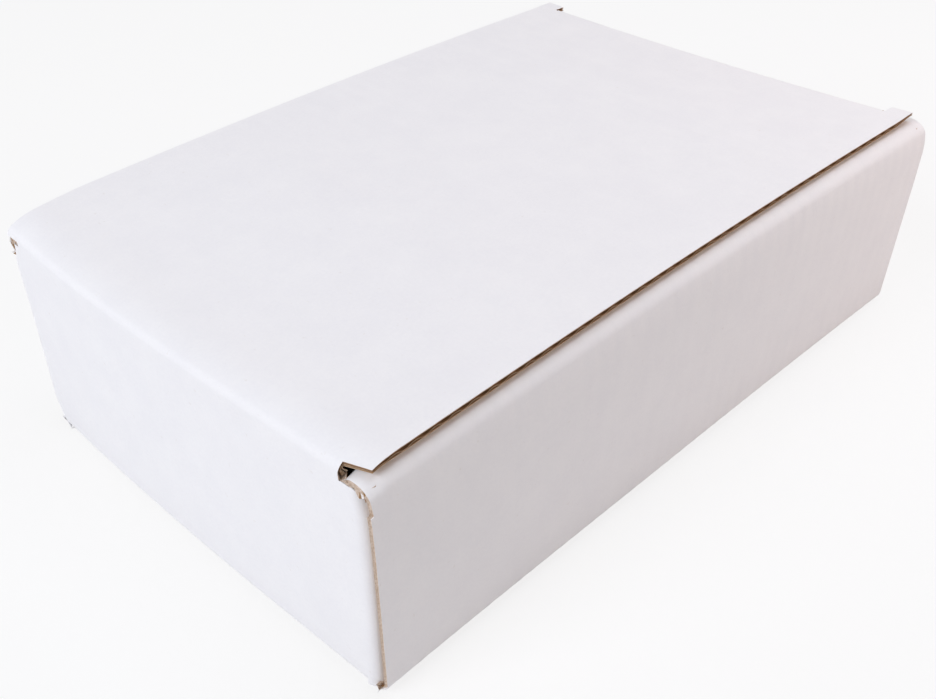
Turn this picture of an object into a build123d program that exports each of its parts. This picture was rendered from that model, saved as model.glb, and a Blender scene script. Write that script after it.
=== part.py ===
from build123d import *
import os
from math import atan, sin, sqrt, tan

# Corrugated mailer box: one die-cut sheet of single-wall board, folded up.
# +X across the rolled side walls, +Y towards the hinge wall, +Z up.
# The origin is the middle of the floor's lower face. Millimetres.

# Driving dimensions of the closed box, over the outside
WIDTH = 170.0
DEPTH = 255.0
HEIGHT = 78.0

# The board: two flat liners with a fluted medium between them
BOARD = 3.0
LINER = 0.40
MEDIUM = 0.35
FLUTE_PITCH = 6.4
FLUTE_FLAT = 1.2            # crest of the medium that is glued to a liner
FLUTE_ROUND = 1.2           # inner radius of a crest, where its flat is wide enough
FLUTE_CORNER = 0.2          # where the medium meets a liner
CRUSHED = 4.0               # solid band where a crease crushes the flutes

# Creases, and the air between layers that lie together
CREASE_INNER = 0.4
ROLL_OUTER = 4.2            # outer radius of the roll-over on a side wall
PLY_GAP = 0.15

# Side walls: an outer and an inner layer around the corner flaps
SHOULDER_SET_BACK = 2.0     # above its shoulders a side wall is this much shorter, at each end
SHOULDER_DROP = 11.0        # from the lid's face down to the shoulder
TAB_LENGTH = 30.0
TAB_SPREAD = 130.0          # between the middles of the two tabs on one side
TAB_RECESS = 0.5            # a tab ends this much above the floor's lower face
SLOT_GAP = 0.4

# Hinge wall, front wall and their corner flaps
NOTCH_DROP = 4.5            # raw top edge of the flap creases, below the lid's face
FRONT_DROP = 5.0            # raw top edge of the front wall, below the lid's face
CORNER_FLAP = 60.0
FLAP_LEAD = 6.0             # cut-off corners that lead a flap into its wall

# Lid and tuck flap
LID_INSET = 1.5             # raw side edge, in from the side wall's face
LID_SET_BACK = 4.0          # rear raw edge beside the hinge crease
EAR_INSET = 3.0             # front raw edge beside the front crease
TUCK_INSET = 6.0            # front crease, in from the front wall's face
TUCK_HEIGHT = 35.0
TUCK_CLEAR = 1.0            # at each side, from the rolled walls
TUCK_TAPER = 4.0
TUCK_CORNER = 10.0
HINGE_GAP = 0.10            # where the lid's half of the hinge crease meets the tray's

# What follows from them
crease_outer = BOARD + CREASE_INNER
roll_thickness = 3 * BOARD + 2 * PLY_GAP
half_width = WIDTH / 2
half_depth = DEPTH / 2
lid_underside = HEIGHT - BOARD
wall_top = lid_underside - PLY_GAP
inner_half = half_width - roll_thickness
flap_face = half_width - BOARD - PLY_GAP
wall_flat_half = flap_face - crease_outer
layer_end = half_depth - crease_outer - PLY_GAP
tuck_front = -half_depth + TUCK_INSET
tuck_back = tuck_front + crease_outer


def block(x_span, y_span, z_span):
    """A box from its lowest and highest coordinate along each axis."""
    spans = (x_span, y_span, z_span)
    sizes = [high - low for low, high in spans]
    centre = [(low + high) / 2 for low, high in spans]
    return Pos(*centre) * Box(*sizes)


def both_sides(shape):
    """The shape and its mirror image on the other side of the box."""
    return shape + mirror(shape, about=Plane.YZ)


def both_ends(shape):
    """The shape and its mirror image at the other end of the box."""
    return shape + mirror(shape, about=Plane.XZ)


def folded_strip(points, radii):
    """The edge-on section of a folded strip: square corners on its outer line, board to the left."""
    corners = [Vector(*point) for point in points]
    runs = [end - start for start, end in zip(corners, corners[1:])]
    across = [Vector(-run.Y, run.X).normalized() * BOARD for run in runs]
    shifts = [across[0]] + [a + b for a, b in zip(across, across[1:])] + [across[-1]]
    outer = FilletPolyline(*corners, radius=radii)
    inner_corners = [corner + shift for corner, shift in zip(corners, shifts)]
    inner = FilletPolyline(*inner_corners, radius=[radius - BOARD for radius in radii])
    ends = [Line(outer @ end, inner @ end) for end in (0, 1)]
    return make_face(outer.edges() + inner.edges() + ends)


def closed_strip():
    """Front wall, floor, hinge wall, lid and tuck flap as one folded strip."""
    section = folded_strip(
        [
            (-half_depth, HEIGHT - FRONT_DROP),
            (-half_depth, 0),
            (half_depth, 0),
            (half_depth, HEIGHT),
            (tuck_front, HEIGHT),
            (tuck_front, HEIGHT - TUCK_HEIGHT),
        ],
        [crease_outer] * 4,
    )
    return extrude(Plane.YZ * section, amount=inner_half, both=True)


def hinge_cut():
    """A thin slab on the diagonal of the hinge crease."""
    length = 4 * crease_outer
    slab = Box(WIDTH, HINGE_GAP, length)
    corner = Pos(0, half_depth - length / 4, HEIGHT - length / 4)
    return corner * Rot(X=-45) * slab


def side_walls():
    """Floor and both side walls, each rolled over its corner flaps into the floor."""
    section = folded_strip(
        [
            (0, 0),
            (half_width, 0),
            (half_width, wall_top),
            (inner_half, wall_top),
            (inner_half, BOARD + PLY_GAP),
        ],
        [crease_outer, ROLL_OUTER, ROLL_OUTER],
    )
    right = extrude(Plane.XZ * section, amount=half_depth, both=True)
    walls = both_sides(right)

    # The inner layers and the floor stop inside the end walls
    beyond = (layer_end, half_depth + BOARD)
    inside_outer = (-(half_width - BOARD), half_width - BOARD)
    walls -= both_ends(block(inside_outer, beyond, (-BOARD, HEIGHT)))

    # The roll-over is stepped back from the ends of the outer layer
    shoulder = (half_depth - SHOULDER_SET_BACK, half_depth + BOARD)
    above = (HEIGHT - SHOULDER_DROP, HEIGHT)
    return walls - both_ends(block((-WIDTH, WIDTH), shoulder, above))


def floor_slots():
    """Slots through the floor under the inner layers, for their tabs."""
    x_span = (inner_half - SLOT_GAP, inner_half + BOARD + SLOT_GAP)
    reach = TAB_LENGTH / 2 + SLOT_GAP
    y_span = (TAB_SPREAD / 2 - reach, TAB_SPREAD / 2 + reach)
    return both_sides(both_ends(block(x_span, y_span, (-BOARD, BOARD + PLY_GAP / 2))))


def floor_tabs():
    """Tabs that reach from the inner layers down into their slots."""
    x_span = (inner_half, inner_half + BOARD)
    y_span = ((TAB_SPREAD - TAB_LENGTH) / 2, (TAB_SPREAD + TAB_LENGTH) / 2)
    return both_sides(both_ends(block(x_span, y_span, (TAB_RECESS, 2 * BOARD))))


def corner_flap():
    """The hinge wall's side beyond its lid crease, and the corner flap bent from it."""
    section = folded_strip(
        [
            (flap_face, half_depth - CORNER_FLAP),
            (flap_face, half_depth),
            (inner_half - BOARD, half_depth),
        ],
        [crease_outer],
    )
    low = BOARD + PLY_GAP
    flap = Pos(0, 0, low) * extrude(section, amount=HEIGHT - NOTCH_DROP - low)

    # Behind the crease the flap ends under the roll-over, with two cut-off corners
    flap_top = wall_top - ROLL_OUTER - PLY_GAP
    flap_end = half_depth - CORNER_FLAP
    y_span = (flap_end - BOARD, half_depth - crease_outer)
    flap -= block((wall_flat_half, half_width), y_span, (flap_top, HEIGHT))
    lead = Rot(X=45) * Box(WIDTH, FLAP_LEAD * sqrt(2), FLAP_LEAD * sqrt(2))
    return flap - [Pos(flap_face, flap_end, z) * lead for z in (low, flap_top)]


def tuck_prism():
    """The tuck flap's outline through the front crease: tapered, with round free corners."""
    top_half = inner_half - TUCK_CLEAR
    tip_half = top_half - TUCK_TAPER
    tip = HEIGHT - TUCK_HEIGHT
    corners = [(-top_half, HEIGHT), (-tip_half, tip), (tip_half, tip), (top_half, HEIGHT)]
    outline = Polygon(*corners, align=None)
    outline = fillet(outline.vertices().sort_by(Axis.Y)[:2], TUCK_CORNER)
    return extrude(Plane.XZ.offset(-tuck_back) * outline, amount=crease_outer)


def wings():
    """The lid's sides, which lie over the roll-overs from the rear edge to the front ears."""
    y_span = (-half_depth + EAR_INSET, half_depth - LID_SET_BACK)
    wing = block((inner_half - TUCK_CLEAR, half_width - LID_INSET), y_span, (lid_underside, HEIGHT))
    slit = block((0, inner_half), (-half_depth, tuck_back), (0, 2 * HEIGHT))
    return both_sides(wing - slit)


def flute_hollow():
    """The section of one hollow between two crests of the medium, under a liner."""
    height = BOARD - 2 * LINER - MEDIUM
    run = FLUTE_PITCH / 2 - FLUTE_FLAT
    flank = atan(height / run)
    half_web = MEDIUM / 2 / sin(flank)
    at_liner = FLUTE_FLAT / 2 + run * (1 + MEDIUM / 2 / height) - half_web
    at_crest = FLUTE_FLAT / 2 + run * MEDIUM / 2 / height - half_web
    top = BOARD / 2 - LINER
    low = top - height
    crest_round = min(FLUTE_ROUND, 0.9 * at_crest / tan(flank / 2))
    hollow = Polygon((-at_liner, top), (-at_crest, low), (at_crest, low), (at_liner, top), align=None)
    hollow = fillet(hollow.vertices().sort_by(Axis.Y)[:2], crest_round)
    return fillet(hollow.vertices().sort_by(Axis.Y)[-2:], FLUTE_CORNER)


def flutes(length):
    """The hollows along a stretch of board, on both sides of the medium."""
    count = int((length - 2 * CRUSHED) / FLUTE_PITCH - 0.5)
    start = -(count - 0.5) * FLUTE_PITCH / 2
    upper = flute_hollow()
    lower = Pos(FLUTE_PITCH / 2, 0) * mirror(upper, about=Plane.XZ)
    return [Pos(start + n * FLUTE_PITCH, 0) * side for n in range(count) for side in (upper, lower)]


def lid_flutes():
    """The through hollows of the lid and its tuck flap, which run from side to side."""
    rear = half_depth - LID_SET_BACK
    plate = Pos((tuck_back + rear) / 2, HEIGHT - BOARD / 2)
    tuck_length = TUCK_HEIGHT - crease_outer
    tuck = Pos(tuck_front + BOARD / 2, HEIGHT - TUCK_HEIGHT + tuck_length / 2) * Rot(Z=90)
    hollows = [plate * hollow for hollow in flutes(rear - tuck_back)]
    hollows += [tuck * hollow for hollow in flutes(tuck_length)]
    return [extrude(Plane.YZ * hollow, amount=half_width, both=True) for hollow in hollows]


lid_strip, tray_strip = (closed_strip() - hinge_cut()).solids().sort_by(Axis.Z, reverse=True)

flap = corner_flap()
tray = side_walls() + tray_strip + both_sides(both_ends(flap))
tray = tray - floor_slots() + floor_tabs()

front_band = block((-WIDTH, WIDTH), (-DEPTH, tuck_back), (0, 2 * HEIGHT))
lid = (lid_strip - front_band) + (lid_strip & tuck_prism()) + wings()
lid = lid - lid_flutes()

os.makedirs("parts", exist_ok=True)
for name, solid in {"tray": tray, "lid": lid}.items():
    export_step(solid, f"parts/{name}.step")
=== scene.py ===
"""The looks of a corrugated mailer box: one folded sheet of white-faced board, shut.

+X runs across the rolled side walls, +Y towards the hinge wall, +Z up. Metres.
The sheet is drawn by its outer face, folded by spinning open edges round each crease,
and given its thickness at the end.
"""

from contextlib import contextmanager
from math import cos, pi, radians, sin

import bmesh
import bpy
import numpy as np
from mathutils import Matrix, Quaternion, Vector


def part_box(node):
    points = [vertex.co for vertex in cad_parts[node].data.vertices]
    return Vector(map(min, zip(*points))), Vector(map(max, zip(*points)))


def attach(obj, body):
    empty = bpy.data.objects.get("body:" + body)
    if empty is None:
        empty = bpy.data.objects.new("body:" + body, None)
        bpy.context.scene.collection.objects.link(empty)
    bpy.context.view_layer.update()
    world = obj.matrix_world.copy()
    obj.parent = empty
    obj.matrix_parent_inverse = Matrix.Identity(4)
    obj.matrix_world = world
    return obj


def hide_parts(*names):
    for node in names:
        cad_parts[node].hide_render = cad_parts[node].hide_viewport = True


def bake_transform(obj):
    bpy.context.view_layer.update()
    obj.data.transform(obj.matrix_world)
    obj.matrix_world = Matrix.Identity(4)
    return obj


MM = 0.001

# ---- sizes ---------------------------------------------------------------------------

# The board: two flat liners with a fluted medium between them
BOARD = 3.0 * MM
LINER = 0.40 * MM
MEDIUM = 0.35 * MM
FLUTE_PITCH = 6.4 * MM
CUTS_A_FLUTE = 4            # cuts across one flute, in the liners that show its wash
MEDIUM_CUTS = 10            # and in the medium, which has its full wave
EDGE_RECESS = 0.45 * MM     # the core of a cut edge lies a little behind its liners

# Creases
CREASE_OUTER = 3.4 * MM
LID_CREASE_OUTER = 2.0 * MM # the lid's two creases are sharper, because they are crushed
CREASE_CRUSH = 0.55         # to this share of the board's thickness
CRUSH_REACH = 9.0 * MM      # how far from a crease the board is back to its own thickness
SEAM_REACH = 6.0 * MM       # and on the tuck flap
ROLL_OUTER = 4.2 * MM
BEND_STEPS = 8
PLY_GAP = 0.15 * MM         # air between two layers that lie on each other

# Tray
ROLL_THICKNESS = 9.3 * MM
SHOULDER_SET_BACK = 1.0 * MM
SHOULDER_DROP = 11.0 * MM
ROLL_BELOW_LID = 0.15 * MM
NOTCH_DROP = 4.5 * MM       # raw top edge of the walls at the corners, below the lid's face
TAB_LENGTH = 30.0 * MM
TAB_SPREAD = 130.0 * MM
TAB_RECESS = 0.5 * MM
SLOT_GAP = 0.4 * MM
CORNER_FLAP = 60.0 * MM
FLAP_LEAD = 6.0 * MM
FLAP_LOW = 0.9 * MM         # lower end of a corner flap's crease

# Lid
TUCK_CLEAR = 1.0 * MM
TUCK_INSET = 6.0 * MM
TUCK_TAPER = 4.0 * MM
TUCK_CORNER = 9.0 * MM
LID_SET_BACK = 4.0 * MM     # the -X wing's rear corner, short of the hinge wall's face

# How thin the die leaves the board at a cut edge, as a share, and how far in that reaches
SIDE_CUT, SIDE_CUT_REACH = 0.38, 7.0 * MM
NOTCH_CUT, NOTCH_CUT_REACH = 0.42, 5.0 * MM
WING_CUT, WING_CUT_REACH = 0.66, 6.0 * MM
WING_REAR_CUT, WING_REAR_REACH = 0.55, 11.0 * MM
EAR_CUT, EAR_CUT_REACH = 0.45, 15.0 * MM
PRESSED_CUT = 0.42          # how far the die presses the medium down at the lid's sides

# How far the folded board has bowed
CROWN = 2.0 * MM            # the whole box, up in the middle of its length
HINGE_SAG = 2.4 * MM        # the hinge crease, down in the middle
HINGE_BULGE = 2.2 * MM      # and outwards
HINGE_LEAN = 0.35           # both more towards +X, by this share
FLOOR_BULGE = 1.2 * MM      # the hinge wall's lower crease, outwards
FRONT_SAG = 1.0 * MM        # the front crease, down in the middle
EAR_CURL = 0.3 * MM         # the lid's front corners, up
HINGE_DROP = 2.0 * MM       # the whole hinge crease, below the lid's own plane
END_DROP = 0.4              # and as large a share again at its ends
DROP_REACH = 14.0 * MM      # both over this last stretch of the lid
ROLL_SPREAD = 1.6 * MM      # the -X roll-over, outwards at its hinge end
ROLL_SPREAD_FRONT = 4.2 * MM    # and at its front end
ROLL_SOFTENING = 1.6 * MM   # how far a roll-over leans in above the flat of its wall
CORNER_TUCK = 5.5 * MM      # the +X side wall's hinge end, drawn in behind the hinge wall
CORNER_LEAN = 1.5 * MM      # and towards the middle of the box
CORNER_REACH = 30.0 * MM    # both over this last stretch of the wall
END_BULGE = 1.0 * MM        # both ends of the hinge crease, outwards
WING_LEAN = 2.2 * MM        # the lid's corner over it, towards the middle
CORNER_ROUND = 13.0 * MM    # the hinge wall's worn lower corner above it
FLAP_CROWD = 0.9 * MM       # how far a corner flap's crease pushes out into its side wall
FREE_CROWD = 1.3 * MM       # and as much more where that wall has drawn back from it
NOTCH_SLOPE = 3.0 * MM      # the raw top of that crease, down towards its flap
BASE_BULGE = 1.6 * MM       # the hinge wall's whole lower crease, outwards
CORNER_LIFT = 1.4 * MM      # the lower corner at -X, +Y, off the table
WASH = 0.06 * MM            # how far a liner dips between two flutes
LID_WASH = 0.03 * MM        # and on the lid
ROLL_WASH = 0.18 * MM       # and round a roll-over, where it is pulled tight

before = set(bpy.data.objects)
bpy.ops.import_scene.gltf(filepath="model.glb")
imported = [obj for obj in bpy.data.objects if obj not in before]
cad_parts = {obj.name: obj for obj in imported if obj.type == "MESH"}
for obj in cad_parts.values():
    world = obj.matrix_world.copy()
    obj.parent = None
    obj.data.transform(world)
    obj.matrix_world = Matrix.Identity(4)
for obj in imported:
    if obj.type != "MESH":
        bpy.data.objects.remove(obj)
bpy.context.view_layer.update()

tray_low, tray_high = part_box("tray")
lid_low, lid_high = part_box("lid")
half_width = tray_high.x
half_depth = tray_high.y
lid_top = lid_high.z
lid_half = lid_high.x
lid_front = lid_low.y
tuck_tip = lid_low.z

wall_top = lid_top - BOARD - ROLL_BELOW_LID
inner_half = half_width - ROLL_THICKNESS
notch_top = lid_top - NOTCH_DROP
flap_face = half_width - BOARD - PLY_GAP
flap_bend = flap_face - CREASE_OUTER
floor_half = half_width - CREASE_OUTER
floor_end = half_depth - CREASE_OUTER
crease_low = lid_top - LID_CREASE_OUTER
hinge_bend = half_depth - LID_CREASE_OUTER
tuck_front = -half_depth + TUCK_INSET
tuck_bend = tuck_front + LID_CREASE_OUTER
wing_rear = half_depth - LID_SET_BACK

TOUCH = 0.02 * MM           # how near counts as at a place

# ---- modelling -----------------------------------------------------------------------


def alone(piece):
    """Selects the piece and nothing else."""
    bpy.ops.object.select_all(action="DESELECT")
    piece.select_set(True)
    bpy.context.view_layer.objects.active = piece


@contextmanager
def editing(piece):
    """Edit mode on the piece, for the lines inside."""
    alone(piece)
    bpy.ops.object.mode_set(mode="EDIT")
    bpy.ops.mesh.select_mode(type="EDGE")
    yield
    bpy.ops.object.mode_set(mode="OBJECT")


def at(value, place):
    return abs(value - place) < TOUCH


def middle(item):
    total = Vector((0, 0, 0))
    for vertex in item.verts:
        total += vertex.co
    return total / len(item.verts)


def pick_faces(piece, test):
    """Selects the faces whose middle passes the test."""
    bpy.ops.mesh.select_mode(type="FACE")
    bpy.ops.mesh.select_all(action="DESELECT")
    mesh = bmesh.from_edit_mesh(piece.data)
    for face in mesh.faces:
        if test(middle(face)):
            face.select_set(True)
    bmesh.update_edit_mesh(piece.data)


def pick_open_edges(piece, test):
    """Selects the open edges whose middle passes the test."""
    bpy.ops.mesh.select_mode(type="EDGE")
    bpy.ops.mesh.select_all(action="DESELECT")
    mesh = bmesh.from_edit_mesh(piece.data)
    for edge in mesh.edges:
        if edge.is_boundary and test(middle(edge)):
            edge.select_set(True)
    bmesh.update_edit_mesh(piece.data)


def pick_corners(piece, test):
    """Selects the corners that pass the test."""
    bpy.ops.mesh.select_mode(type="VERT")
    bpy.ops.mesh.select_all(action="DESELECT")
    mesh = bmesh.from_edit_mesh(piece.data)
    for vertex in mesh.verts:
        if test(vertex.co):
            vertex.select_set(True)
    bmesh.update_edit_mesh(piece.data)


def pull(x=0.0, y=0.0, z=0.0):
    """Extrudes the picked open edges to lengthen the board."""
    bpy.ops.mesh.extrude_region_move(TRANSFORM_OT_translate={"value": (x, y, z)})


def fold(centre, axis, turn=pi / 2, steps=BEND_STEPS):
    """Folds the board on round a crease from its picked open edges, by the right-hand rule."""
    bpy.ops.mesh.spin(steps=steps, angle=-turn, center=centre, axis=axis)


def score(places, normal, picked=lambda place: True, piece=None):
    """Cuts the sheet across on planes, so that it can bow and dip between them."""
    for place in places:
        if piece is None:
            bpy.ops.mesh.select_all(action="SELECT")
        else:
            pick_faces(piece, picked)
        origin = [place * part for part in normal]
        bpy.ops.mesh.bisect(plane_co=origin, plane_no=normal, threshold=1e-6)


def even_steps(low, high, step):
    """Places a step apart from low to high, without the ends."""
    count = max(1, round((high - low) / step))
    return [low + (high - low) * n / count for n in range(1, count)]


def sheet_panel(name, x_span, y_span, z):
    """A flat panel to fold the rest of the sheet from."""
    bpy.ops.object.select_all(action="DESELECT")
    centre = (sum(x_span) / 2, sum(y_span) / 2, z)
    bpy.ops.mesh.primitive_plane_add(size=1, location=centre)
    piece = bpy.context.object
    piece.name = piece.data.name = name
    piece.scale = (x_span[1] - x_span[0], y_span[1] - y_span[0], 1)
    bpy.ops.object.transform_apply(location=True, rotation=True, scale=True)
    return piece


def face_out(piece, inner_point):
    """Turns the sheet so that its printed side looks away from the inside of the board."""
    bpy.ops.mesh.select_all(action="SELECT")
    bpy.ops.mesh.normals_make_consistent(inside=False)
    mesh = bmesh.from_edit_mesh(piece.data)
    mesh.faces.ensure_lookup_table()
    nearest = min(mesh.faces, key=lambda face: (face.calc_center_median() - inner_point).length)
    if (inner_point - nearest.calc_center_median()).dot(nearest.normal) > 0:
        bpy.ops.mesh.flip_normals()


def thicken(piece, thickness, shares=None):
    """Gives the sheet its thickness behind its outer face, or a share of it at each corner."""
    solidify = piece.modifiers.new("board thickness", "SOLIDIFY")
    solidify.thickness = thickness
    if shares is not None:
        group = piece.vertex_groups.new(name="thickness")
        for index, share in enumerate(shares):
            group.add([index], float(share), "REPLACE")
        solidify.vertex_group = group.name
    solidify.offset = -1
    solidify.use_even_offset = True
    solidify.use_rim = True
    solidify.material_offset = 1
    solidify.material_offset_rim = 2
    alone(piece)
    bpy.ops.object.modifier_apply(modifier=solidify.name)
    piece.vertex_groups.clear()


# ---- materials -----------------------------------------------------------------------


def linear(hex_colour):
    """An sRGB hex colour as linear RGBA."""
    channels = [int(hex_colour[i:i + 2], 16) / 255 for i in (1, 3, 5)]
    return [c / 12.92 if c <= 0.04045 else ((c + 0.055) / 1.055) ** 2.4 for c in channels] + [1]


def add(tree, kind, links=(), **settings):
    """One node, with its settings and what is linked into it."""
    node = tree.nodes.new(kind)
    for name, value in settings.items():
        if name.startswith("in_"):
            key = name[3:]
            socket = node.inputs[int(key)] if key.isdigit() else node.inputs[key.replace("_", " ")]
            socket.default_value = value
        else:
            setattr(node, name, value)
    for key, source in dict(links).items():
        tree.links.new(source, node.inputs[key])
    return node


def new_material(name):
    material = bpy.data.materials.new(name)
    material.use_nodes = True
    material.node_tree.nodes.clear()
    return material, material.node_tree


def paper(name, colour, shade, fleck, roughness, fibre_depth):
    """A sheet of liner paper. Fibres a millimetre or two long cloud its colour softly,
    and their felted ends give it a dry, dull skin."""
    material, tree = new_material(name)
    place = add(tree, "ShaderNodeTexCoord").outputs["Object"]
    cloud = add(tree, "ShaderNodeTexNoise", {"Vector": place},
                in_Scale=1 / (14 * MM), in_Detail=4.0, in_Roughness=0.6)
    fibres = add(tree, "ShaderNodeTexNoise", {"Vector": place},
                 in_Scale=1 / (0.9 * MM), in_Detail=3.0, in_Roughness=0.65)
    both = add(tree, "ShaderNodeMath", {0: cloud.outputs["Fac"], 1: fibres.outputs["Fac"]},
               operation="ADD")
    tone = add(tree, "ShaderNodeMapRange", {"Value": both.outputs[0]}, in_1=0.75, in_2=1.25)
    base = add(tree, "ShaderNodeMix", {"Factor": tone.outputs[0]}, data_type="RGBA")
    base.inputs[6].default_value = linear(shade)
    base.inputs[7].default_value = linear(colour)
    specks = add(tree, "ShaderNodeTexNoise", {"Vector": place},
                 in_Scale=1 / (1.6 * MM), in_Detail=2.0)
    speck_map = add(tree, "ShaderNodeMapRange", {"Value": specks.outputs["Fac"]},
                    in_1=0.70, in_2=0.80, in_3=0.0, in_4=0.5)
    flecked = add(tree, "ShaderNodeMix", {"Factor": speck_map.outputs[0]}, data_type="RGBA")
    tree.links.new(base.outputs[2], flecked.inputs[6])
    flecked.inputs[7].default_value = linear(fleck)
    bump = add(tree, "ShaderNodeBump", {"Height": fibres.outputs["Fac"]},
               in_Strength=0.5, in_Distance=fibre_depth)
    shader = add(tree, "ShaderNodeBsdfPrincipled",
                 {"Base Color": flecked.outputs[2], "Normal": bump.outputs[0]},
                 in_Roughness=roughness, in_IOR=1.5)
    shader.inputs["Specular IOR Level"].default_value = 0.35
    add(tree, "ShaderNodeOutputMaterial", {"Surface": shader.outputs[0]})
    return material


def cut_core(name, light, dark, layer_step):
    """Corrugated board where a die has cut it: fibres torn short, in crushed layers."""
    material, tree = new_material(name)
    place = add(tree, "ShaderNodeTexCoord").outputs["Object"]
    torn = add(tree, "ShaderNodeTexNoise", {"Vector": place},
               in_Scale=1 / layer_step, in_Detail=4.0, in_Roughness=0.7)
    spread = add(tree, "ShaderNodeMapRange", {"Value": torn.outputs["Fac"]}, in_1=0.35, in_2=0.65)
    base = add(tree, "ShaderNodeMix", {"Factor": spread.outputs[0]}, data_type="RGBA")
    base.inputs[6].default_value = linear(dark)
    base.inputs[7].default_value = linear(light)
    bump = add(tree, "ShaderNodeBump", {"Height": torn.outputs["Fac"]},
               in_Strength=0.8, in_Distance=0.3 * MM)
    shader = add(tree, "ShaderNodeBsdfPrincipled",
                 {"Base Color": base.outputs[2], "Normal": bump.outputs[0]}, in_Roughness=0.92)
    shader.inputs["Specular IOR Level"].default_value = 0.2
    add(tree, "ShaderNodeOutputMaterial", {"Surface": shader.outputs[0]})
    return material


# Bleached kraft liner: white, with the least warmth, and dull
white_liner = paper("bleached_kraft_liner", "#F2F2F2", "#EEEEEF", "#E4E1DD", 0.72, 0.05 * MM)
# Unbleached test liner on the inside: light brown, with darker fibres
brown_liner = paper("unbleached_test_liner", "#B99368", "#A98259", "#7C5A39", 0.85, 0.08 * MM)
# The fluted medium: recycled, darker and coarser
brown_medium = paper("recycled_fluting_medium", "#9A7550", "#866241", "#5E4229", 0.9, 0.08 * MM)
# A cut edge: pale torn fibre of both liners and the crushed medium between
cut_edge = cut_core("die_cut_board_edge", "#DDCEBF", "#BDA58D", 0.6 * MM)
# The cut edge of the medium: the same torn fibre, darker
flute_edge = cut_core("die_cut_flute_edge", "#BCA48B", "#94795D", 0.5 * MM)
# The thin cut edge of one liner by itself
liner_edge = cut_core("die_cut_liner_edge", "#D9C6B2", "#B89C80", 0.4 * MM)


def dress(piece, *materials):
    """The piece's materials: its outer side, its inner side and its cut edges."""
    piece.data.materials.clear()
    for material in materials:
        piece.data.materials.append(material)


# ---- how the board has bowed -----------------------------------------------------------


def smooth(values):
    values = np.clip(values, 0, 1)
    return values * values * (3 - 2 * values)


def read(piece, what, kind="vertices"):
    items = getattr(piece.data, kind)
    values = np.zeros(len(items) * 3)
    items.foreach_get(what, values)
    return values.reshape(-1, 3)


def write(piece, places):
    piece.data.vertices.foreach_set("co", places.ravel())
    piece.data.update()


def bow(places):
    """Where the bowed board has taken each point of the flat-sided one."""
    x, y, z = places.T
    along = np.clip(1 - (y / half_depth) ** 2, 0, 1)
    across = np.clip(1 - (x / inner_half) ** 2, 0, 1)
    to_hinge = smooth((y - half_depth * 0.35) / (half_depth * 0.65))
    to_front = smooth((-y - half_depth * 0.55) / (half_depth * 0.45))
    up = np.clip(z / lid_top, 0, 1)
    lean = 1 + HINGE_LEAN * x / half_width
    hinge = across * lean * to_hinge
    moved = places.copy()
    moved[:, 0] += spread_roll(x, y, z)
    moved[:, 1] += hinge * (HINGE_BULGE * up ** 1.5 + FLOOR_BULGE * (1 - up) ** 2)
    moved[:, 1] += END_BULGE * (1 - across) * to_hinge * up ** 1.5
    moved[:, 2] += CROWN * along
    moved[:, 2] -= hinge * HINGE_SAG * up ** 3
    near_hinge = np.clip((y - half_depth + DROP_REACH) / DROP_REACH, 0, 1)
    moved[:, 2] -= HINGE_DROP * (1 + END_DROP * (1 - across)) * near_hinge ** 3 * up ** 6
    moved[:, 2] -= across * to_front * FRONT_SAG * up ** 3
    ear = smooth((np.abs(x) - inner_half) / (lid_half - inner_half))
    ear = ear * smooth((-y - half_depth * 0.88) / (half_depth * 0.1))
    moved[:, 2] += EAR_CURL * ear * smooth((z - wall_top) / BOARD)
    lift = smooth(-x / half_width) * smooth(y / half_depth) * (1 - up)
    moved[:, 2] += CORNER_LIFT * lift
    corner_shape(moved, places)
    return moved


def spread_roll(x, y, z):
    """Outwards on the -X side, whose roll-over has sprung open, and in over the top of both."""
    layers = np.clip((np.abs(x) - inner_half) / ROLL_THICKNESS, 0, 1)
    in_tray = z < wall_top + TOUCH
    forward = (1 - y / half_depth) / 2
    spring = ROLL_SPREAD + (ROLL_SPREAD_FRONT - ROLL_SPREAD) * forward
    rise = np.clip(z / (wall_top - 2 * ROLL_OUTER), 0, 1)
    outwards = np.where(x < 0, spring * rise, 0)
    soft = np.clip((z - wall_top + 15 * MM) / (15 * MM), 0, 1) ** 2
    outwards = outwards - ROLL_SOFTENING * soft
    return np.where(in_tray, np.sign(x) * layers * outwards, 0)


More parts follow.
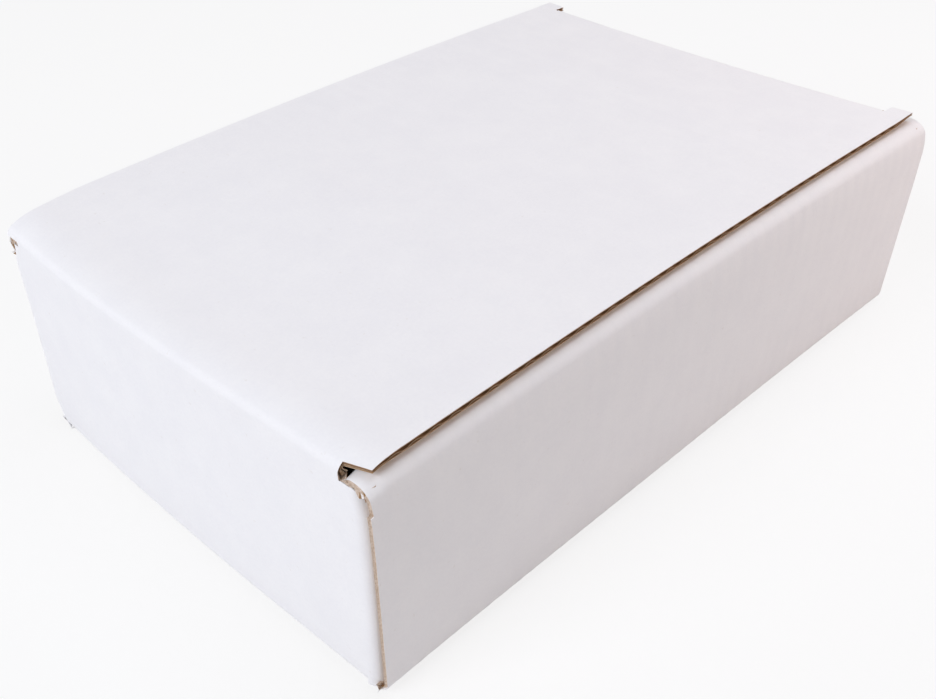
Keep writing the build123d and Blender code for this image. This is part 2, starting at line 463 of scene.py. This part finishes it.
def corner_shape(moved, places):
    """The +X, +Y corner: the side wall and the lid's wing drawn in, and the lower corner
    worn round. Then the crowded creases of the corner flaps, and the hinge wall's foot."""
    x, y, z = places.T
    near_end = smooth((y - half_depth + CORNER_REACH) / CORNER_REACH)
    below_roll = 1 - smooth((z - 60 * MM) / (9 * MM))
    side_wall_layer = smooth((x - flap_face) / (0.1 * MM)) * below_roll
    moved[:, 1] -= CORNER_TUCK * near_end * side_wall_layer
    moved[:, 0] -= CORNER_LEAN * near_end * side_wall_layer
    wing = np.clip((x - inner_half) / (lid_half - inner_half), 0, 1) * (z > wall_top + TOUCH)
    moved[:, 0] -= WING_LEAN * near_end * wing
    low = np.clip((CORNER_ROUND - z) / CORNER_ROUND, 0, 1)
    drawn_in = CORNER_ROUND * (1 - np.sqrt(1 - 0.9 * low ** 2))
    outer_share = np.clip((x - inner_half + 20 * MM) / (27 * MM), 0, 1)
    moved[:, 0] -= drawn_in * outer_share * near_end

    crease = smooth((np.abs(y) - half_depth + 7.5 * MM) / (4 * MM)) * (z < notch_top + TOUCH)
    crowded = np.clip((np.abs(x) - inner_half + 3 * MM) / (flap_face - inner_half + 3 * MM), 0, 1)
    crowded = crowded * (np.abs(x) < flap_face + TOUCH)
    crowded = crowded * (1 - smooth((z - 64 * MM) / (7 * MM)))
    free = (x > 0) & (y > 0)
    moved[:, 0] += np.sign(x) * (FLAP_CROWD + FREE_CROWD * free) * crowded * crease

    slope = smooth((np.abs(x) - flap_bend - 0.9 * MM) / (2.5 * MM))
    slope = slope * smooth((z - notch_top + 5 * MM) / (5 * MM))
    on_crease = (np.abs(x) < flap_face + TOUCH) & (np.abs(y) > floor_end - TOUCH)
    moved[:, 2] -= NOTCH_SLOPE * slope * (on_crease & (z < notch_top + TOUCH))

    base = (1 - np.clip(z / lid_top, 0, 1)) ** 2 * (np.abs(x) < flap_face + TOUCH)
    moved[:, 1] += BASE_BULGE * base * smooth((y - half_depth + 30 * MM) / (26 * MM))


def wash(piece, dip):
    """Lets the outer liner dip between the flutes."""
    places = read(piece, "co")
    normals = read(piece, "vector", "vertex_normals")
    x, y, z = places.T
    end_wall = np.abs(normals[:, 1]) > 0.7
    across_flutes = np.where(end_wall, z, y)
    wave = (np.cos(2 * pi * across_flutes / FLUTE_PITCH) - 1) / 2
    roll = smooth((z - wall_top + 14 * MM) / (9 * MM))
    roll = roll * ((np.abs(x) > inner_half) & (z < wall_top + TOUCH))
    depth = dip + (ROLL_WASH - dip) * roll
    write(piece, places + normals * (wave * depth)[:, None])


# ---- tray ----------------------------------------------------------------------------


def tray_sheet():
    """Floor, rolled side walls with their tabs, hinge and front walls, and corner flaps."""
    piece = sheet_panel("tray_board", (-floor_half, floor_half), (-floor_end, floor_end), 0)
    slot_x = (inner_half - SLOT_GAP, inner_half + BOARD + SLOT_GAP)
    slot_reach = TAB_LENGTH / 2 + SLOT_GAP
    slot_y = (TAB_SPREAD / 2 - slot_reach, TAB_SPREAD / 2 + slot_reach)
    with editing(piece):
        for side in (-1, 1):
            score([side * place for place in (*slot_x, flap_bend)], (1, 0, 0))
            score([side * place for place in slot_y], (0, 1, 0))
        pick_faces(piece, lambda p: slot_x[0] < abs(p.x) < slot_x[1]
                   and slot_y[0] < abs(p.y) < slot_y[1])
        bpy.ops.mesh.delete(type="FACE")
        for side in (-1, 1):
            side_wall(piece, side)
        for end in (-1, 1):
            end_wall(piece, end)
        shape_side_ends(piece)
        face_out(piece, Vector((0, 0, BOARD)))
    return piece


def side_wall(piece, side):
    """The outer layer, the roll-over and the inner layer with its tabs, on one side."""
    axis = (0, -side, 0)
    pick_open_edges(piece, lambda p: at(p.x, side * floor_half))
    fold((side * floor_half, 0, CREASE_OUTER), axis)
    pull(z=lid_top - SHOULDER_DROP - CREASE_OUTER)
    pull(z=wall_top - ROLL_OUTER - (lid_top - SHOULDER_DROP))
    fold((side * (half_width - ROLL_OUTER), 0, wall_top - ROLL_OUTER), axis)
    pull(x=-side * (ROLL_THICKNESS - 2 * ROLL_OUTER))
    fold((side * (inner_half + ROLL_OUTER), 0, wall_top - ROLL_OUTER), axis)
    pull(z=-(wall_top - ROLL_OUTER - BOARD - PLY_GAP))
    tab_low = (TAB_SPREAD - TAB_LENGTH) / 2
    tab_high = tab_low + TAB_LENGTH
    bpy.ops.mesh.select_all(action="DESELECT")
    for place in (-tab_high, -tab_low, tab_low, tab_high):
        score([place], (0, 1, 0), lambda p: at(p.x, side * inner_half) and p.z > TOUCH, piece)
    pick_open_edges(piece, lambda p: at(p.x, side * inner_half) and at(p.z, BOARD + PLY_GAP)
                    and tab_low < abs(p.y) < tab_high)
    pull(z=TAB_RECESS - BOARD - PLY_GAP)


def end_wall(piece, end):
    """The hinge wall or the front wall up to its raw top, and its two corner flaps."""
    pick_open_edges(piece, lambda p: at(p.y, end * floor_end) and at(p.z, 0)
                    and abs(p.x) < flap_bend)
    fold((0, end * floor_end, CREASE_OUTER), (end, 0, 0))
    flap_top = wall_top - ROLL_OUTER - PLY_GAP
    pull(z=flap_top - CREASE_OUTER)
    pull(z=notch_top - flap_top)
    for side in (-1, 1):
        pick_open_edges(piece, lambda p: at(p.x, side * flap_bend) and at(p.y, end * half_depth)
                        and p.z > CREASE_OUTER)
        fold((side * flap_bend, end * floor_end, 0), (0, 0, -side * end))
        pick_open_edges(piece, lambda p: at(p.z, CREASE_OUTER) and abs(p.y) > floor_end
                        and flap_bend < side * p.x < flap_face and end * p.y > 0)
        pull(z=FLAP_LOW - CREASE_OUTER)
        pick_open_edges(piece, lambda p: at(p.x, side * flap_face) and at(p.y, end * floor_end)
                        and CREASE_OUTER < p.z < flap_top)
        pull(y=-end * (CORNER_FLAP - CREASE_OUTER))
        pick_corners(piece, lambda p: at(p.x, side * flap_face)
                     and at(p.y, end * (half_depth - CORNER_FLAP)))
        bpy.ops.mesh.bevel(offset=FLAP_LEAD, affect="VERTICES", segments=1)


def shape_side_ends(piece):
    """Lengthens the outer layers past the end walls, and the roll-overs a little less."""
    shoulder = lid_top - SHOULDER_DROP

    def outer(p):
        on_side = abs(p.x) > floor_half + TOUCH and not at(abs(p.x), flap_face)
        return on_side or p.z > wall_top - ROLL_OUTER

    pick_open_edges(piece, lambda p: at(p.y, -floor_end) and outer(p))
    pull(y=-CREASE_OUTER)
    pick_open_edges(piece, lambda p: at(p.y, floor_end) and outer(p))
    pull(y=CREASE_OUTER - SHOULDER_SET_BACK)
    reach = half_depth - SHOULDER_SET_BACK
    pick_open_edges(piece, lambda p: at(p.y, reach) and p.z < shoulder)
    pull(y=SHOULDER_SET_BACK)


def raw_edges(piece):
    """Splits each cut edge into its two thin liners and a core that lies behind them."""
    with editing(piece):
        bpy.ops.mesh.select_mode(type="FACE")
        bpy.ops.mesh.select_all(action="DESELECT")
        mesh = bmesh.from_edit_mesh(piece.data)
        for face in mesh.faces:
            if face.material_index == 2:
                face.select_set(True)
        bmesh.update_edit_mesh(piece.data)
        bpy.ops.mesh.inset(thickness=LINER, depth=-EDGE_RECESS, use_even_offset=False)
        mesh = bmesh.from_edit_mesh(piece.data)
        for face in mesh.faces:
            if face.material_index == 2 and not face.select:
                beside = {other.material_index for edge in face.edges for other in edge.link_faces}
                face.material_index = 0 if 0 in beside else 2
        bmesh.update_edit_mesh(piece.data)


def press_worn_corner(piece):
    """The worn lower corner: its white liner is pressed over the raw edge."""
    for face in piece.data.polygons:
        x, y, z = face.center
        if z < CREASE_OUTER and x > flap_bend - CREASE_OUTER and y > floor_end:
            face.material_index = 0


def die_cut_shares(places):
    """The share of its thickness that the board keeps: the die thins it at a cut edge."""
    x, y, z = np.abs(places).T
    outer = (x > floor_half + TOUCH) | (z > wall_top - ROLL_OUTER)
    rolled_in = smooth((half_width - 3.5 * MM - x) / (2.5 * MM))
    rolled_in = rolled_in * (z > wall_top - ROLL_OUTER - TOUCH)
    from_end = half_depth - y
    side = SIDE_CUT + (1 - SIDE_CUT) * np.maximum(smooth(from_end / SIDE_CUT_REACH), rolled_in)
    on_flap = (np.abs(x - flap_face) < TOUCH) & (z < wall_top - ROLL_OUTER)
    side = np.where(outer & ~on_flap, side, 1)
    corner = (y > floor_end - TOUCH) & (x > inner_half + MM) & (x < flap_face + TOUCH)
    hinge_or_front = corner | ((places[:, 1] < -floor_end) & (x < flap_face))
    notch = NOTCH_CUT + (1 - NOTCH_CUT) * smooth((notch_top - z) / NOTCH_CUT_REACH)
    return np.where(hinge_or_front & (z < wall_top - TOUCH), notch, side)


def make_tray():
    piece = tray_sheet()
    with editing(piece):
        flute_cut = FLUTE_PITCH / CUTS_A_FLUTE
        score(even_steps(-half_depth, half_depth, flute_cut), (0, 1, 0))
        score(even_steps(-half_width, half_width, 8 * MM), (1, 0, 0))
        score(even_steps(0, notch_top, flute_cut), (0, 0, 1),
              lambda p: at(abs(p.y), half_depth), piece)
        score(even_steps(0, wall_top, 10 * MM), (0, 0, 1),
              lambda p: not at(abs(p.y), half_depth), piece)
    wash(piece, WASH)
    dress(piece, white_liner, brown_liner, cut_edge)
    thicken(piece, BOARD, die_cut_shares(read(piece, "co")))
    raw_edges(piece)
    press_worn_corner(piece)
    finish_piece(piece)
    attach(piece, "tray")
    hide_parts("tray")
    return piece


def finish_piece(piece):
    write(piece, bow(read(piece, "co")))
    alone(piece)
    bpy.ops.object.shade_smooth_by_angle(angle=radians(32))


# ---- lid -----------------------------------------------------------------------------


def lid_sheet(name, depth):
    """The lid's sheet at a depth below its outer face: the top of the hinge wall, the
    crease, the plate with its side wings and front ears, the front crease and the tuck."""
    bend = LID_CREASE_OUTER - depth
    piece = sheet_panel(name, (-inner_half, inner_half), (tuck_bend, hinge_bend), lid_top - depth)
    tuck_half = inner_half - TUCK_CLEAR
    with editing(piece):
        score([-tuck_half, tuck_half], (1, 0, 0))
        pick_open_edges(piece, lambda p: at(p.y, hinge_bend))
        fold((0, hinge_bend, crease_low), (-1, 0, 0))
        pull(z=notch_top - crease_low)
        for side in (-1, 1):
            pick_open_edges(piece, lambda p: at(p.x, side * inner_half)
                            and tuck_bend < p.y < hinge_bend)
            pull(x=side * (lid_half - inner_half))
            if side < 0:
                pick_corners(piece, lambda p: at(p.x, side * lid_half) and at(p.y, hinge_bend))
                bpy.ops.transform.translate(value=(0, wing_rear - hinge_bend, 0))
            else:
                pick_open_edges(piece, lambda p: at(p.y, hinge_bend) and p.x > inner_half)
                fold((0, hinge_bend, crease_low), (-1, 0, 0))
            pick_open_edges(piece, lambda p: at(p.y, tuck_bend) and abs(p.x) > inner_half)
            pull(y=lid_front - tuck_bend)
        pick_open_edges(piece, lambda p: at(p.y, tuck_bend) and abs(p.x) < tuck_half)
        fold((0, tuck_bend, crease_low), (1, 0, 0))
        pull(z=tuck_tip - crease_low)
        tip = (tuck_half - TUCK_TAPER) / tuck_half
        bpy.ops.transform.resize(value=(tip, 1, 1), center_override=(0, 0, 0))
        pick_corners(piece, lambda p: at(p.z, tuck_tip)
                     and at(abs(p.x), tuck_half - TUCK_TAPER))
        bpy.ops.mesh.bevel(offset=TUCK_CORNER, affect="VERTICES", segments=6)
        face_out(piece, Vector((0, 0, lid_top - depth - BOARD)))
    return piece


def cut_for_flutes(piece, cuts):
    step = FLUTE_PITCH / cuts
    with editing(piece):
        score(even_steps(lid_front, hinge_bend, step), (0, 1, 0))
        score(even_steps(tuck_tip, crease_low, step), (0, 0, 1),
              lambda p: p.y < tuck_bend and p.z < crease_low, piece)
        score(even_steps(-lid_half, lid_half, 8 * MM), (1, 0, 0))


def flute_height(places):
    """How much of its full height the medium keeps: creases and cut ends crush it."""
    x, y, z = places.T
    rear = smooth((hinge_bend - y) / CRUSH_REACH)
    front = smooth((y - tuck_bend) / CRUSH_REACH)
    ear = smooth((y - lid_front) / (16 * MM))
    plate = np.minimum(rear, np.where(np.abs(x) > inner_half, ear, front))
    tuck_tip_cut = smooth((z - tuck_tip + 2 * MM) / (5 * MM))
    tuck = np.minimum(smooth((crease_low - z) / SEAM_REACH), tuck_tip_cut)
    return np.where(z > crease_low, plate, np.where(y > 0, 0, tuck))


def corrugate(piece):
    """Raises the medium's flutes from its middle plane."""
    places = read(piece, "co")
    normals = read(piece, "vector", "vertex_normals")
    on_tuck = places[:, 2] < crease_low
    run = np.where(on_tuck, places[:, 2], places[:, 1])
    swing = np.sin(2 * pi * run / FLUTE_PITCH)
    swing = np.tanh(1.7 * swing) / np.tanh(1.7)
    height = CREASE_CRUSH * (BOARD - 2 * LINER - MEDIUM) / 2
    pressed = smooth((np.abs(places[:, 0]) - lid_half + 6 * MM) / (6 * MM))
    lift = height * flute_height(places) * (swing * (1 - 0.5 * pressed) - PRESSED_CUT * pressed)
    write(piece, places + normals * lift[:, None])


def packed_shares(places, thin):
    """The medium's thickness as a share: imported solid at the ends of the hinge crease."""
    x, y, z = places.T
    ends = smooth((np.abs(x) - inner_half + 5 * MM) / (4 * MM))
    near = 1 - smooth((hinge_bend - y) / (3 * MM))
    return thin + (1 - thin) * ends * near * (y > 0)


def fill_out(places):
    """Lets the lid's board, drawn as thin as in its creases, swell to its own thickness
    between them, and less so where the die has cut it."""
    x, y, z = places.T
    rear = smooth((hinge_bend - y) / CRUSH_REACH)
    front = smooth((y - tuck_bend) / CRUSH_REACH)
    plate = CREASE_CRUSH + (1 - CREASE_CRUSH) * np.minimum(rear, front)
    wing_in = np.abs(x) - inner_half
    wing = smooth((wing_in + 3 * MM) / (4 * MM))
    ear = EAR_CUT + (1 - EAR_CUT) * smooth((y - lid_front) / EAR_CUT_REACH)
    back = WING_REAR_CUT + (1 - WING_REAR_CUT) * smooth((hinge_bend - y) / WING_REAR_REACH)
    cut = WING_CUT + (1 - WING_CUT) * smooth((lid_half - np.abs(x)) / WING_CUT_REACH)
    plate = plate * (1 - wing) + np.minimum(ear, back) * cut * wing
    seam = 1 - (1 - CREASE_CRUSH) * smooth((z - notch_top) / (crease_low - notch_top))
    tuck_edge = smooth((crease_low - z) / SEAM_REACH)
    tuck = CREASE_CRUSH + (1 - CREASE_CRUSH) * tuck_edge
    moved = places.copy()
    on_plate = (z > crease_low) & (y <= hinge_bend + TOUCH) & (y >= tuck_bend - TOUCH)
    on_plate = on_plate | ((np.abs(x) > inner_half - TUCK_CLEAR + TOUCH) & (y < 0))
    on_hinge_wall = (z <= crease_low) & (y > 0)
    on_tuck = (z <= crease_low) & (y < 0)
    swell = 1 / CREASE_CRUSH
    moved[:, 2] = np.where(on_plate, lid_top - (lid_top - z) * plate * swell, z)
    wall_y = half_depth - (half_depth - y) * seam * swell
    tuck_y = tuck_front + (y - tuck_front) * tuck * swell
    moved[:, 1] = np.where(on_hinge_wall, wall_y, np.where(on_tuck, tuck_y, y))
    return moved


def make_lid():
    layers = {
        "lid_face_liner": (0, LINER, CUTS_A_FLUTE, (white_liner, brown_liner, liner_edge)),
        "lid_fluting": ((BOARD - MEDIUM) / 2, MEDIUM, MEDIUM_CUTS,
                        (brown_medium, brown_medium, flute_edge)),
        "lid_inner_liner": (BOARD - LINER, LINER, CUTS_A_FLUTE,
                            (brown_liner, brown_liner, liner_edge)),
    }
    for name, (depth, thickness, cuts, materials) in layers.items():
        piece = lid_sheet(name, depth * CREASE_CRUSH)
        cut_for_flutes(piece, cuts)
        if name == "lid_fluting":
            corrugate(piece)
        else:
            wash(piece, LID_WASH)
        dress(piece, *materials)
        if name == "lid_fluting":
            packed = (BOARD - MEDIUM) / 2 - LINER
            shares = packed_shares(read(piece, "co"), MEDIUM / packed)
            thicken(piece, packed * CREASE_CRUSH, shares)
        else:
            thicken(piece, thickness * CREASE_CRUSH)
        write(piece, fill_out(read(piece, "co")))
        # The blend is weighed on the flat-sided sheet, whose crease is straight
        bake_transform(piece)
        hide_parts("lid")
        finish_piece(piece)


# ---- stage ---------------------------------------------------------------------------

LENS = 43.846               # mm, on a sensor 36 mm wide
CAMERA_PLACE = (-0.2347, 0.2411, 0.2491)
CAMERA_AZIMUTH, CAMERA_ELEVATION, CAMERA_ROLL = 225.69, 36.29, -1.60
SKY_STRENGTH = 0.34
FLOOR_GLOW = 0.8            # how much of the floor's own white the camera sees
FLOOR_SIZE = 6.0


def make_camera():
    data = bpy.data.cameras.new("camera")
    data.lens = LENS
    camera = bpy.data.objects.new("camera", data)
    bpy.context.scene.collection.objects.link(camera)
    camera.location = CAMERA_PLACE
    azimuth, elevation = radians(CAMERA_AZIMUTH), radians(CAMERA_ELEVATION)
    back = Vector((sin(azimuth) * cos(elevation), -cos(azimuth) * cos(elevation), sin(elevation)))
    camera.rotation_mode = "QUATERNION"
    turn = (-back).to_track_quat("-Z", "Y")
    camera.rotation_quaternion = turn @ Quaternion((0, 0, 1), radians(CAMERA_ROLL))
    data.clip_start, data.clip_end = 0.01, 20
    bpy.context.scene.camera = camera


def lamp(name, place, size, power, colour):
    """A soft square lamp, turned towards the middle of the box and not seen itself."""
    data = bpy.data.lights.new(name, "AREA")
    data.shape = "SQUARE"
    data.size = size
    data.energy = power
    data.color = linear(colour)[:3]
    light = bpy.data.objects.new(name, data)
    bpy.context.scene.collection.objects.link(light)
    light.location = place
    light.visible_camera = False
    light.rotation_mode = "QUATERNION"
    aim = Vector((0, 0, lid_top / 2)) - Vector(place)
    light.rotation_quaternion = aim.to_track_quat("-Z", "Y")


def seen_directly(tree):
    """1 for the rays that show the white around the box, 0 for those that light it."""
    path = add(tree, "ShaderNodeLightPath")
    seen = add(tree, "ShaderNodeMath",
               {0: path.outputs["Is Camera Ray"], 1: path.outputs["Is Glossy Ray"]},
               operation="MAXIMUM")
    return add(tree, "ShaderNodeMath",
               {0: seen.outputs[0], 1: path.outputs["Is Transmission Ray"]},
               operation="MAXIMUM")


def make_stage():
    bpy.ops.object.select_all(action="DESELECT")
    bpy.ops.mesh.primitive_plane_add(size=FLOOR_SIZE, location=(0, 0, -0.2 * MM))
    floor = bpy.context.object
    floor.name = floor.data.name = "floor"
    material, tree = new_material("white_table")
    place = add(tree, "ShaderNodeTexCoord").outputs["Object"]
    grain = add(tree, "ShaderNodeTexNoise", {"Vector": place}, in_Scale=30.0)
    base = add(tree, "ShaderNodeMix", {"Factor": grain.outputs["Fac"]}, data_type="RGBA")
    base.inputs[6].default_value = linear("#E9E9E9")
    base.inputs[7].default_value = linear("#ECECEC")
    diffuse = add(tree, "ShaderNodeBsdfDiffuse", {"Color": base.outputs[2]})
    glow = add(tree, "ShaderNodeEmission", in_Strength=1.0)
    seen = seen_directly(tree)
    share = add(tree, "ShaderNodeMath", {0: seen.outputs[0]}, operation="MULTIPLY",
                in_1=FLOOR_GLOW)
    surface = add(tree, "ShaderNodeMixShader",
                  {0: share.outputs[0], 1: diffuse.outputs[0], 2: glow.outputs[0]})
    add(tree, "ShaderNodeOutputMaterial", {"Surface": surface.outputs[0]})
    floor.data.materials.append(material)

    world = bpy.data.worlds.new("studio")
    bpy.context.scene.world = world
    world.use_nodes = True
    tree = world.node_tree
    tree.nodes.clear()
    seen = seen_directly(tree)
    sky = add(tree, "ShaderNodeBackground", in_Strength=SKY_STRENGTH)
    sky.inputs["Color"].default_value = linear("#FFFBFA")
    white = add(tree, "ShaderNodeBackground", in_Strength=1.0)
    white.inputs["Color"].default_value = linear("#FFFFFF")
    surface = add(tree, "ShaderNodeMixShader",
                  {0: seen.outputs[0], 1: sky.outputs[0], 2: white.outputs[0]})
    add(tree, "ShaderNodeOutputWorld", {"Surface": surface.outputs[0]})
    bpy.context.scene.view_settings.view_transform = "Standard"

    # A big cool window beyond the hinge wall, a ceiling over the lid, and a little light
    # that comes back warm from a wall on the -X side. Metres and watts.
    lamp("window", (0.20, 1.50, 1.05), 0.9, 18.6, "#F4F6FF")
    lamp("ceiling", (-0.1, -0.35, 1.55), 0.9, 7, "#EEF3FF")
    lamp("warm_wall", (-0.35, -0.45, 0.30), 0.3, 1.05, "#FFE2DA")


make_tray()
make_lid()
make_camera()
make_stage()
